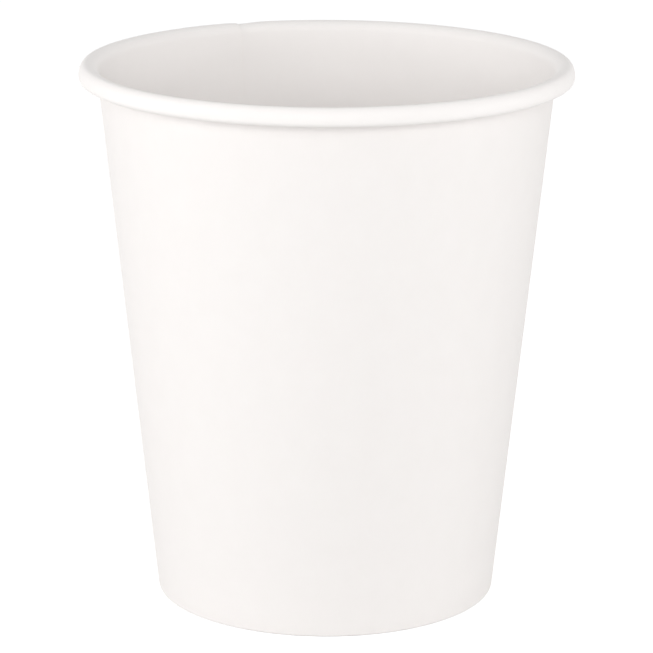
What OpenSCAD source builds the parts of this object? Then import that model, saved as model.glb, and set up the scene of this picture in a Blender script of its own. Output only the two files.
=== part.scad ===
// A paper drinking cup of two pieces of coated board. The side wall is a fan-shaped blank wrapped
// into a cone, lapped and sealed along one side seam, with its top edge rolled outwards and its
// bottom edge folded in and up. The base disc has a drawn skirt, which the folded hem grips.
// The cup stands on the fold, centred on the origin, with +Z up through its mouth.

/* [Cup] */
// Diameter over the rolled rim
rim_d = 73; // [66:0.5:80]
// Height from the table to the top of the rim
cup_h = 80.6; // [60:0.1:110]
// Diameter at the bottom, where the line of the wall's outer face meets the table
foot_d = 50.9; // [44:0.1:58]

/* [Board] */
// Thickness of the side wall's board
wall_t = 0.3; // [0.25:0.01:0.36]
// Thickness of the base disc's board
base_t = 0.3; // [0.25:0.01:0.36]

/* [Rim roll] */
// Width of the roll, from the wall's inner face to the outermost point
roll_w = 3.05; // [2.8:0.05:4]
// Height of the roll
roll_h = 2.7; // [2.5:0.05:3.6]
// How far in from its outermost point the roll is highest
roll_out = 1.1; // [1:0.05:1.5]
// How far below its top the roll is widest
roll_up = 1.7; // [1.35:0.05:1.8]
// How much fuller than round the roll is below its outermost point
roll_full = 0.1; // [0:0.01:0.15]
// Air between the wall and the edge that is tucked inside the roll
roll_gap = 0.1; // [0.05:0.01:0.2]
// How far the edge is tucked in past the wall, in degrees of the roll's turn
tuck_deg = 50; // [10:5:90]

/* [Bottom] */
// Height of the base disc's underside over the table
recess_h = 6; // [5:0.25:10]
// Outside radius of the bend between the disc and its skirt
bend_r = 0.8; // [0.5:0.1:1]
// Room between the hem's top edge and the disc
hem_room = 1; // [0.8:0.1:2]
// Inside radius of the fold at the bottom of the wall
fold_r = 0.05; // [0.03:0.01:0.1]
// Clearance between the layers of board that are sealed together
seal_gap = 0.02; // [0.01:0.01:0.04]

/* [Side seam] */
// Width of the lap, measured round the wall at the rim
lap_w = 7; // [5:0.5:10]
// Direction of the lap's edge inside the cup, from which the lap runs on counterclockwise from +X
seam_az = 113.6; // [0:0.1:360]

/* [Hidden] */
$fn = 180;
board_white = [0.97, 0.96, 0.95];
base_white = [0.95, 0.94, 0.93];

foot_r = foot_d / 2;
roll_mid = [rim_d / 2 - roll_out, cup_h - roll_up];
turn = 360;
quarter = turn / 4;
roll_step = 10;
fold_step = 15;

// Angle on the roll up to which it leaves room for the seam's outer ply on the wall
roll_nip = -130;

// Width and height of the middle of the board in the roll, from the roll's middle, in the quarter of
// an angle. The roll is made of four quarters of different ellipses.
function roll_rx(angle) = (cos(angle) < 0 ? roll_w - roll_out : roll_out) - wall_t / 2;
function roll_rz(angle) = (sin(angle) < 0 ? roll_h - roll_up : roll_up) - wall_t / 2;

// Angle on the roll at which a wall that leans by a runs into it
function roll_from(a) = turn / 2 - atan(roll_rz(turn / 2 - a) / roll_rx(turn / 2 - a) * tan(a));

// Smooth rise from 0 to 1 as x goes from 0 to 1
function ease(x) = let (u = min(max(x, 0), 1)) u * u * (3 - 2 * u);

// Point of the roll at an angle, out from the middle of the board towards the cup's outer face.
// Over the quarter turn after its lowest point, the roll winds in by one board and the gap.
function roll_point(angle, out) =
    let (
        inward = (wall_t + roll_gap) * ease((-quarter - angle) / quarter),
        full = angle < 0 && angle > -quarter ? roll_full * pow(sin(2 * angle), 2) : 0
    )
    roll_mid + (1 + full) * [(roll_rx(angle) - out - inward) * cos(angle),
                             (roll_rz(angle) - out - inward) * sin(angle)];

// The wall leans so that its outer face runs from the foot into the roll without a corner. Each round
// corrects the lean by the point at which the round before runs into the roll, and few rounds are enough.
enough_rounds = 8;
function lean_after(rounds) = rounds <= 0 ? 0 :
    let (p = roll_point(roll_from(lean_after(rounds - 1)), wall_t / 2)) atan2(p.x - foot_r, p.y);
lean = lean_after(enough_rounds);

// Point at a height, on a line parallel to the wall that lies in from its outer face
function layer(z, in) = [foot_r + z * tan(lean) - in / cos(lean), z];

// How far in the layers of board start at the bottom: the base's skirt, then the hem
skirt_in = wall_t + seal_gap;
hem_in = skirt_in + base_t + seal_gap;
hem_top = recess_h - hem_room;
disc_top = recess_h + base_t;

// The fold's two corners are centred at one height, so that the cup stands on a flat ring between them
fold_z = wall_t + fold_r;
wall_corner = layer(fold_z, wall_t + fold_r);
hem_corner = layer(fold_z, hem_in - fold_r);

// Points of a round stretch about c
function arc(c, r, from, to) =
    let (n = ceil((to - from) / fold_step))
    [for (i = [0 : n]) let (a = from + (to - from) * i / n) c + r * [cos(a), sin(a)]];

// Angles round the roll, with its top, its outermost point and its lowest point among them
roll_last = roll_from(lean) - turn - tuck_deg;
roll_angles = concat(
    [roll_from(lean)],
    [for (a = [floor(roll_from(lean) / roll_step) * roll_step : -roll_step : roll_last]) a],
    [roll_last]
);

// One face of the side wall's board: down from the hem's top edge, round the fold, up the wall and
// round the roll. out is how far it lies from the board's inner face, 0 or the board's thickness.
function wall_face(out) = concat(
    [layer(hem_top, hem_in + out)],
    arc(hem_corner, fold_r + out, turn / 2 - lean, turn - quarter),
    arc(wall_corner, fold_r + out, turn - quarter, turn - lean),
    [for (a = roll_angles) roll_point(a, out - wall_t / 2)]
);

// Flat shape between one line of points and another
module between(one, other) {
    polygon(concat(one, [for (i = [len(other) - 1 : -1 : 0]) other[i]]));
}

// Board of the seam's outer ply along a stretch of wall or hem, from one distance in to another
module seam_ply(to_z, from_in, to_in) {
    lap_deg = turn * lap_w / (2 * PI * layer(roll_mid.y, 0).x);
    rotate([0, 0, seam_az])
        rotate_extrude(angle = lap_deg)
            between([layer(fold_z, from_in), layer(to_z, from_in)],
                    [layer(fold_z, to_in), layer(to_z, to_in)]);
}

// The outer ply starts in the middle of the board under it, so that the two are one solid
module side_wall() {
    mid_hem = hem_in + wall_t / 2;
    color(board_white)
        union() {
            rotate_extrude()
                between(wall_face(0), wall_face(wall_t));
            seam_ply(roll_point(roll_nip, -wall_t / 2).y, wall_t / 2, -wall_t);
            seam_ply(hem_top, mid_hem, hem_in + 2 * wall_t);
        }
}

// One face of the base disc's board: up the skirt, round the bend and flat to the middle.
// in is how far it lies from the board's upper and outer face, 0 or the board's thickness.
function base_face(in) = concat(
    [layer(fold_z + seal_gap, skirt_in + in)],
    arc(layer(disc_top - bend_r, skirt_in + bend_r), bend_r - in, -lean, quarter),
    [[0, disc_top - in]]
);

module base_disc() {
    color(base_white)
        rotate_extrude()
            between(base_face(0), base_face(base_t));
}

side_wall();
base_disc();
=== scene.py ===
import math

import bmesh
import bpy
from mathutils import Matrix, Vector


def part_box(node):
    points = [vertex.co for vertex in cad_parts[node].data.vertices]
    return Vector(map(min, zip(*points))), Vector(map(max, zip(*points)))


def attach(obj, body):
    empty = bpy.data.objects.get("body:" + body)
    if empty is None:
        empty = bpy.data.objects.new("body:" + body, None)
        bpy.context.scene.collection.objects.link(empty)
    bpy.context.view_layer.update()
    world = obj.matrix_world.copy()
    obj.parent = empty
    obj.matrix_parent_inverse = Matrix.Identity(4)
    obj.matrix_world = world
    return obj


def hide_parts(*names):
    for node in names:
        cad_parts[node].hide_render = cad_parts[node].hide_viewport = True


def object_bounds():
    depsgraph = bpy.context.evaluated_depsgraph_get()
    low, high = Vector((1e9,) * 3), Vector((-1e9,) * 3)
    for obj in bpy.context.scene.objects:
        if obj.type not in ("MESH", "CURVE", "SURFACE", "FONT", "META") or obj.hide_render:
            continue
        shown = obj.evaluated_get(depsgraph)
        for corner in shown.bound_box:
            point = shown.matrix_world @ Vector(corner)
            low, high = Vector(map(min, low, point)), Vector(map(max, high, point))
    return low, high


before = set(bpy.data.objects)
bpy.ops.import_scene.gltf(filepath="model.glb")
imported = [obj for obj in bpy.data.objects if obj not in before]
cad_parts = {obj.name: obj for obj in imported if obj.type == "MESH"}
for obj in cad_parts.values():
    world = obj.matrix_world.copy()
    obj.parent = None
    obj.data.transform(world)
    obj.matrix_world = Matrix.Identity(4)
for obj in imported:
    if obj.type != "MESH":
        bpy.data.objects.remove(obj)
cad_low, cad_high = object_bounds()

# The base disc is punched flat from coated cup board and drawn, which turns its edge down into a skirt
# and gathers the board into fine puckers round the bend. It is formed first, with its coated face up
# under the drink, and the side wall is then wrapped round its skirt.
BOARD = 0.0003
SEAL_GAP = 0.00002
FOOT_RADIUS = 0.02545
LEAN = math.radians(6.0)
BEND_RADIUS = 0.0008
DOME = 0.00015
PUCKERS = 88
PUCKER_HEIGHT = 0.000035
PUCKER_REACH = 0.0016
DISC_RINGS = 14
BEND_STEPS = 7
SKIRT_RINGS = 8
DISC_SPOKES = 704
SAME_POINT = 1e-6
FULL_THICKNESS = 1.0
THINNEST = 0.4
THICK_GROUP = 0
SHARP_EDGE = math.radians(50)

MIDDLE = 0.5
CLOUD_TONE = 0.9
FIBRE_TONE = 0.6
CLOUD_ROUGHNESS = 0.10
FIBRE_ROUGHNESS = 0.12
MIX_SHARE = 0
MIX_FIRST_COLOUR = 6
MIX_SECOND_COLOUR = 7
MIX_COLOUR = 2

base_low, base_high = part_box("base_disc")


def layer(height, inward):
    """Radius and height of a point on a line parallel to the wall, in from the wall's outer face."""
    return Vector((FOOT_RADIUS + height * math.tan(LEAN) - inward / math.cos(LEAN), height))


def ease(x):
    """Smooth rise from 0 to 1 as x goes from 0 to 1."""
    u = min(max(x, 0.0), 1.0)
    return u * u * (3 - 2 * u)


class Finish:
    """The nodes of a material, or of the world, that feed its shader."""

    def __init__(self, owner, shader):
        owner.use_nodes = True
        self.owner = owner
        self.tree = owner.node_tree
        self.shader = self.tree.nodes[shader]

    def node(self, kind, settings, inputs, output=0):
        """Adds a node: its settings are made first, then its sockets are linked or set."""
        made = self.tree.nodes.new(kind)
        for name, value in settings.items():
            setattr(made, name, value)
        for place, value in inputs.items():
            self.join(made.inputs[place], value)
        return Wire(self, made.outputs[output])

    def blend(self, share, first, second):
        """Blends two colours, from the first at a share of 0 to the second at 1."""
        inputs = {MIX_SHARE: share, MIX_FIRST_COLOUR: first, MIX_SECOND_COLOUR: second}
        return self.node("ShaderNodeMix", {"data_type": "RGBA"}, inputs, output=MIX_COLOUR)

    def join(self, socket, value):
        """Links a wire to a socket, or sets the socket to a plain value."""
        if isinstance(value, Wire):
            self.tree.links.new(value.socket, socket)
        else:
            socket.default_value = value

    def feed(self, values):
        """Joins values to the shader's sockets by their names."""
        for name, value in values.items():
            self.join(self.shader.inputs[name], value)


class Wire:
    """A socket in a finish. Arithmetic on it adds Math nodes."""

    def __init__(self, finish, socket):
        self.finish = finish
        self.socket = socket

    def maths(self, operation, one, other):
        return self.finish.node("ShaderNodeMath", {"operation": operation}, {0: one, 1: other})

    def __add__(self, other):
        return self.maths("ADD", self, other)

    def __radd__(self, other):
        return self.maths("ADD", other, self)

    def __sub__(self, other):
        return self.maths("SUBTRACT", self, other)

    def __rsub__(self, other):
        return self.maths("SUBTRACT", other, self)

    def __mul__(self, other):
        return self.maths("MULTIPLY", self, other)

    def __rmul__(self, other):
        return self.maths("MULTIPLY", other, self)


def board_finish(name, colour, shade, roughness, gloss, fibre_height, ripple_height):
    """White board. Fibres and the cloudy spread of the pulp follow the flat blank, which the map
    named flat gives in metres, with the fibres mostly along its grain."""
    finish = Finish(bpy.data.materials.new(name), "Principled BSDF")
    flat = finish.node("ShaderNodeUVMap", {"uv_map": "flat"}, {})

    def noise(per_metre, stretch, detail):
        grain = (1.0, 1 / stretch, 1.0)
        along = finish.node("ShaderNodeMapping", {}, {"Vector": flat, "Scale": grain})
        inputs = {"Vector": along, "Scale": per_metre, "Detail": detail}
        return finish.node("ShaderNodeTexNoise", {}, inputs) - MIDDLE

    clouds = noise(per_metre=300.0, stretch=1.3, detail=3.0)
    fibres = noise(per_metre=5200.0, stretch=5.0, detail=2.0)
    ripples = noise(per_metre=900.0, stretch=1.6, detail=1.0)
    tone = MIDDLE + CLOUD_TONE * clouds + FIBRE_TONE * fibres
    height = fibre_height * fibres + ripple_height * ripples
    finish.feed({
        "Base Color": finish.blend(tone, (*shade, 1.0), (*colour, 1.0)),
        "Roughness": roughness + CLOUD_ROUGHNESS * clouds + FIBRE_ROUGHNESS * fibres,
        "Specular IOR Level": gloss,
        "Normal": finish.node("ShaderNodeBump", {}, {"Height": height, "Distance": 1.0, "Strength": 1.0}),
    })
    return finish.owner


bare_board = board_finish(
    "bare_board",
    colour=(0.925, 0.897, 0.880),
    shade=(0.900, 0.869, 0.850),
    roughness=0.70,
    gloss=0.3,
    fibre_height=3e-6,
    ripple_height=4e-6,
)
coated_board = board_finish(
    "coated_board",
    colour=(0.940, 0.912, 0.895),
    shade=(0.920, 0.891, 0.873),
    roughness=0.52,
    gloss=0.3,
    fibre_height=8e-7,
    ripple_height=5e-6,
)
cut_board = board_finish(
    "cut_board",
    colour=(0.86, 0.82, 0.77),
    shade=(0.78, 0.73, 0.67),
    roughness=0.9,
    gloss=0.2,
    fibre_height=6e-6,
    ripple_height=8e-6,
)


def make_piece(name, sheet, finishes, node):
    """Gives a flat sheet its thickness, its finishes and its sharp cut edges, and puts it on the cup.
    The finishes are those of the face that the sheet's normals leave, of the other face, and of the cut
    edge. The group named thick, 0 to 1, takes the board from its thinnest share to its full thickness."""
    mesh = bpy.data.meshes.new(name)
    sheet.to_mesh(mesh)
    sheet.free()
    thin = bpy.data.objects.new(name + "_thin", mesh)
    bpy.context.scene.collection.objects.link(thin)
    thin.vertex_groups.new(name="thick")
    thickness = thin.modifiers.new("thickness", "SOLIDIFY")
    thickness.thickness = BOARD
    thickness.offset = 0.0
    thickness.use_even_offset = True
    thickness.vertex_group = "thick"
    thickness.thickness_vertex_group = THINNEST
    thickness.material_offset = 1
    thickness.material_offset_rim = 2
    for finish in finishes:
        mesh.materials.append(finish)
    bpy.context.view_layer.update()
    solid = bpy.data.meshes.new_from_object(thin.evaluated_get(bpy.context.evaluated_depsgraph_get()))
    bpy.data.objects.remove(thin)
    solid.name = name
    solid.shade_smooth()
    solid.set_sharp_from_angle(angle=SHARP_EDGE)
    piece = bpy.data.objects.new(name, solid)
    bpy.context.scene.collection.objects.link(piece)
    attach(piece, "root")
    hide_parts(node)


skirt_middle = BOARD + SEAL_GAP + BOARD / 2
disc_height = base_high.z - BOARD / 2
bend_centre = layer(base_high.z - BEND_RADIUS, BOARD + SEAL_GAP + BEND_RADIUS)
outline = [Vector((bend_centre.x * ring / DISC_RINGS, disc_height)) for ring in range(DISC_RINGS)]
for step in range(BEND_STEPS + 1):
    angle = math.pi / 2 - (math.pi / 2 + LEAN) * step / BEND_STEPS
    outline.append(bend_centre + (BEND_RADIUS - BOARD / 2) * Vector((math.cos(angle), math.sin(angle))))
skirt_top = outline[-1].y
for ring in range(1, SKIRT_RINGS + 1):
    height = skirt_top + (base_low.z - skirt_top) * ring / SKIRT_RINGS
    outline.append(layer(height, skirt_middle))

disc = bmesh.new()
reach = [0.0]
for one, other in zip(outline, outline[1:]):
    reach.append(reach[-1] + (other - one).length)
chain = [disc.verts.new((point.x, 0, point.y)) for point in outline]
links = [disc.edges.new(pair) for pair in zip(chain, chain[1:])]
bmesh.ops.spin(
    disc,
    geom=chain + links,
    cent=(0, 0, 0),
    axis=(0, 0, 1),
    angle=2 * math.pi,
    steps=DISC_SPOKES,
    use_merge=True,
)
bmesh.ops.remove_doubles(disc, verts=disc.verts, dist=SAME_POINT)
bmesh.ops.recalc_face_normals(disc, faces=disc.faces)
flat = disc.loops.layers.uv.new("flat")
weights = disc.verts.layers.deform.new()
path = list(zip(reach, outline))
for vertex in disc.verts:
    vertex[weights][THICK_GROUP] = FULL_THICKNESS
    radius = math.hypot(vertex.co.x, vertex.co.y)
    turn = math.atan2(vertex.co.y, vertex.co.x)
    place = Vector((radius, vertex.co.z))
    along = min(path, key=lambda step: (step[1] - place).length)[0]
    for loop in vertex.link_loops:
        loop[flat].uv = (along * math.cos(turn), along * math.sin(turn))
    gathered = 1 - abs(along - bend_centre.x - BEND_RADIUS / 2) / PUCKER_REACH
    vertex.co.z += PUCKER_HEIGHT * ease(gathered) * math.cos(PUCKERS * turn)
    vertex.co.z += DOME * (1 - ease(radius / bend_centre.x))
make_piece("base_board", disc, [coated_board, bare_board, cut_board], "base_disc")

# The side wall is a fan-shaped blank of the same board, coated on the side of the drink. It is wrapped
# into a cone and sealed along a seam, which is pressed thin. Its top edge is then curled outwards, and
# its bottom edge is folded in and up as a hem, knurled to grip the skirt of the base.
ROLL_WIDTH = 0.00305
ROLL_HEIGHT = 0.0027
ROLL_OUT = 0.0011
ROLL_UP = 0.0017
ROLL_FULL = 0.1
ROLL_GAP = 0.0001
ROLL_BULGE = 0.00003
TUCK = math.radians(50)
FOLD_RADIUS = 0.00005
HEM_TOP = 0.005
LAP_WIDTH = 0.007
SEAM_TURN = math.radians(113.6)
JOGGLE_WIDTH = 0.0045
PRESSED = 0.76
PRESSED_END = 0.5
TAPER_WIDTH = 0.0018
FOOT_LIFT_REACH = 0.0022
KNURLS = 96
KNURL_HEIGHT = 0.00009
KNURL_LOW = 0.0011
KNURL_HIGH = 0.0046
COLUMNS = 480
HEM_ROWS = 8
FOLD_STEPS = 5
WALL_ROWS = 24
ROLL_STEPS = 42
GRID_HALF = 0.5
GRID_SLACK = 1e-4

wall_low, wall_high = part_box("side_wall")
roll_middle = Vector((wall_high.x - ROLL_OUT, wall_high.z - ROLL_UP))
lap = LAP_WIDTH / layer(roll_middle.y, 0).x
joggle = JOGGLE_WIDTH / layer(roll_middle.y, 0).x
taper = TAPER_WIDTH / layer(roll_middle.y, 0).x
ply = PRESSED * BOARD + SEAL_GAP
sink = (1 - PRESSED) * BOARD / 2
hem_inward = 2 * (BOARD + SEAL_GAP)
fold_height = BOARD + FOLD_RADIUS
hem_corner = layer(fold_height, hem_inward - FOLD_RADIUS)
wall_corner = layer(fold_height, BOARD + FOLD_RADIUS)

# Each row of the blank is a function that gives the radius and height of a point on it, from how far
# out of the middle of the board the point is, and from how much of a second ply lies there, 0 to 1.


def hem(height):
    """A row on the hem."""
    return lambda out, doubled: layer(height, hem_inward + BOARD / 2 + out)


def corner(centre, angle):
    """A row on a corner of the fold."""
    radius = FOLD_RADIUS + BOARD / 2
    return lambda out, doubled: centre + (radius + out) * Vector((math.cos(angle), math.sin(angle)))


def wall(height):
    """A row on the wall."""
    return lambda out, doubled: layer(height, BOARD / 2 - out)


def roll_quarter(angle):
    """Width and height of the roll from its middle, in the quarter of an angle."""
    across = ROLL_WIDTH - ROLL_OUT if math.cos(angle) < 0 else ROLL_OUT
    up = ROLL_HEIGHT - ROLL_UP if math.sin(angle) < 0 else ROLL_UP
    return across - BOARD / 2, up - BOARD / 2


def roll(angle):
    """A row on the roll, which winds in after its lowest point, and further where it is doubled."""
    across, up = roll_quarter(angle)
    winding = ease((-math.pi / 2 - angle) / (math.pi / 2))
    full = ROLL_FULL * math.sin(2 * angle) ** 2 if -math.pi / 2 < angle < 0 else 0

    def place(out, doubled):
        bulge = ROLL_BULGE * doubled * (1 - winding)
        inward = winding * (BOARD + ROLL_GAP + ply * doubled) + out - bulge
        return roll_middle + (1 + full) * Vector((
            (across - inward) * math.cos(angle),
            (up - inward) * math.sin(angle),
        ))

    return place


def spread(start, end, steps):
    """Evenly spaced values from start, up to end and without it."""
    return [start + (end - start) * step / steps for step in range(steps)]


across, up = roll_quarter(math.pi - LEAN)
roll_start = math.pi - math.atan(up / across * math.tan(LEAN))
roll_end = roll_start - 2 * math.pi - TUCK
roll_foot = roll_middle.y + up * math.sin(roll_start)
rows = [hem(height) for height in spread(HEM_TOP, fold_height, HEM_ROWS)]
rows += [corner(hem_corner, angle) for angle in spread(math.pi - LEAN, 1.5 * math.pi, FOLD_STEPS)]
rows += [corner(hem_corner, 1.5 * math.pi)]
rows += [corner(wall_corner, angle) for angle in spread(1.5 * math.pi, 2 * math.pi - LEAN, FOLD_STEPS)]
rows += [wall(height) for height in spread(fold_height, roll_foot, WALL_ROWS)]
rows += [roll(angle) for angle in spread(roll_start, roll_end, ROLL_STEPS)]
rows += [roll(roll_end)]
row_reach = [0.0]
for one, other in zip(rows, rows[1:]):
    row_reach.append(row_reach[-1] + (other(0, 0) - one(0, 0)).length)
last_row = len(rows) - 1

blank = bmesh.new()
bmesh.ops.create_grid(blank, x_segments=COLUMNS, y_segments=last_row, size=GRID_HALF)
hem_line = HEM_ROWS / last_row - GRID_HALF
hem_edges = [
    edge
    for edge in blank.edges
    if max(vertex.co.y for vertex in edge.verts) < hem_line - GRID_SLACK
    and abs(edge.verts[0].co.y - edge.verts[1].co.y) < GRID_SLACK
]
bmesh.ops.subdivide_edges(blank, edges=hem_edges, cuts=1)

flat = blank.loops.layers.uv.new("flat")
weights = blank.verts.layers.deform.new()
apex = layer(0, 0).x / math.sin(LEAN) - row_reach[HEM_ROWS + FOLD_STEPS]
whole_turn = 2 * math.pi + lap
fan = whole_turn * math.sin(LEAN)
for vertex in blank.verts:
    turned = (vertex.co.x + GRID_HALF) * whole_turn
    row = round((vertex.co.y + GRID_HALF) * last_row)
    spoke = apex + row_reach[row]
    swing = math.pi / 2 + turned * math.sin(LEAN) - fan / 2
    for loop in vertex.link_loops:
        loop[flat].uv = (spoke * math.cos(swing), spoke * math.sin(swing))

    # The blank's far end climbs over its near end, and both are pressed and tapered in the seam.
    past_start = turned - 2 * math.pi
    over = ease(1 + past_start / joggle)
    doubled = over if turned > math.pi else ease(1 + (lap - turned) / joggle)
    tapered = (PRESSED - PRESSED_END) * (1 - ease(min(turned, lap - past_start) / taper))
    share = 1 - (1 - PRESSED) * doubled - tapered
    taper_side = 1 if vertex.co.x < 0 else -1
    out = ply * over - sink * doubled + tapered * BOARD / 2 * taper_side
    vertex[weights][THICK_GROUP] = (share - THINNEST) / (1 - THINNEST)

    place = rows[row](out, doubled)
    turn = SEAM_TURN + turned
    if row < HEM_ROWS:
        knurled = ease((place.y - KNURL_LOW) / BOARD) * ease((KNURL_HIGH - place.y) / BOARD)
        place.x -= KNURL_HEIGHT * knurled * (1 - math.cos(KNURLS * turn)) / 2
    place.y += (ply - 2 * sink) * doubled * (1 - ease(place.y / FOOT_LIFT_REACH))
    vertex.co = (place.x * math.cos(turn), place.x * math.sin(turn), place.y)
make_piece("wall_board", blank, [bare_board, coated_board, cut_board], "side_wall")

# The floor and the air round the cup are plain white. The camera sees the floor whiter than it is, so
# that only the cup's soft shadow shows on it.
FLOOR_HALF = 3.0
FLOOR_WHITE = 0.76
SHADOW_LIFT = 0.56
AIR_LIGHT = 0.57


def grey(level):
    """A plain grey, from black at 0 to white at 1."""
    return (level, level, level, 1.0)


def seen_or_mirrored(finish):
    """1 for the camera's rays and for those that a glossy or clear surface sends on, and 0 for light."""
    camera_ray, glossy_ray, clear_ray = (
        finish.node("ShaderNodeLightPath", {}, {}, output=f"Is {kind} Ray")
        for kind in ("Camera", "Glossy", "Transmission")
    )
    total = camera_ray + glossy_ray + clear_ray
    return finish.node("ShaderNodeClamp", {}, {"Value": total})


ground = bmesh.new()
bmesh.ops.create_grid(ground, x_segments=1, y_segments=1, size=FLOOR_HALF)
floor_mesh = bpy.data.meshes.new("floor")
ground.to_mesh(floor_mesh)
ground.free()
floor = bpy.data.objects.new("floor", floor_mesh)
bpy.context.scene.collection.objects.link(floor)
paint = Finish(bpy.data.materials.new("floor_white"), "Principled BSDF")
paint.feed({
    "Base Color": grey(FLOOR_WHITE),
    "Roughness": 1.0,
    "Specular IOR Level": 0.0,
    "Emission Color": paint.blend(seen_or_mirrored(paint), grey(0.0), grey(SHADOW_LIFT)),
    "Emission Strength": 1.0,
})
floor_mesh.materials.append(paint.owner)

air = Finish(bpy.data.worlds.new("white_air"), "Background")
air.feed({
    "Color": air.blend(seen_or_mirrored(air), grey(AIR_LIGHT), grey(1.0)),
    "Strength": 1.0,
})
bpy.context.scene.world = air.owner

# Five soft boxes stand low round the cup: the main one in front, and two on each side. The two flat
# ones stand so low that they light the wall and hardly reach down inside.
CUP_MIDDLE = Vector((0, 0, cad_high.z / 2))
LAMP_DISTANCE = 0.58
LAMP_WIDTH = 0.22
FLAT_LAMP_HEIGHT = 0.125


def soft_box(name, azimuth, elevation, height, watts):
    """A soft box that faces the cup. Azimuth 0 is on the camera's side, and it grows to the right."""
    lamp = bpy.data.lights.new(name, "AREA")
    lamp.shape = "RECTANGLE"
    lamp.size = LAMP_WIDTH
    lamp.size_y = height
    lamp.energy = watts
    made = bpy.data.objects.new(name, lamp)
    bpy.context.scene.collection.objects.link(made)
    round_it = math.radians(azimuth)
    above = math.radians(elevation)
    away = Vector((
        math.sin(round_it) * math.cos(above),
        -math.cos(round_it) * math.cos(above),
        math.sin(above),
    ))
    made.location = CUP_MIDDLE + LAMP_DISTANCE * away
    made.rotation_euler = away.to_track_quat("Z", "Y").to_euler()


soft_box("front_light", azimuth=2, elevation=21, height=LAMP_WIDTH, watts=0.87)
soft_box("left_light", azimuth=-67, elevation=18, height=LAMP_WIDTH, watts=0.74)
soft_box("low_left_light", azimuth=-92, elevation=7, height=FLAT_LAMP_HEIGHT, watts=0.42)
soft_box("right_light", azimuth=58, elevation=18, height=LAMP_WIDTH, watts=0.40)
soft_box("low_right_light", azimuth=92, elevation=7, height=FLAT_LAMP_HEIGHT, watts=0.44)

# The camera stands where the outlines of the rim, wall and foot in the photograph put it: well back,
# a little above the rim, with a long lens.
CAMERA_BACK = 0.4778
CAMERA_UP = 0.1685
CAMERA_DOWN_TILT = math.radians(15.04)
CAMERA_ROLL = math.radians(0.17)
LENS_MM = 181.5
SENSOR_MM = 36.0
NEAREST_SEEN = 0.01
PICTURE_SIDE = 653
AXIS_LEFT_OF_CENTRE = 0.5

camera = bpy.data.cameras.new("camera")
camera.lens = LENS_MM
camera.sensor_width = SENSOR_MM
camera.clip_start = NEAREST_SEEN
camera.shift_x = AXIS_LEFT_OF_CENTRE / PICTURE_SIDE
viewer = bpy.data.objects.new("camera", camera)
bpy.context.scene.collection.objects.link(viewer)
viewer.matrix_world = (
    Matrix.Translation((0, -CAMERA_BACK, CAMERA_UP))
    @ Matrix.Rotation(math.pi / 2 - CAMERA_DOWN_TILT, 4, "X")
    @ Matrix.Rotation(CAMERA_ROLL, 4, "Z")
)
bpy.context.scene.camera = viewer
bpy.context.scene.view_settings.view_transform = "Standard"
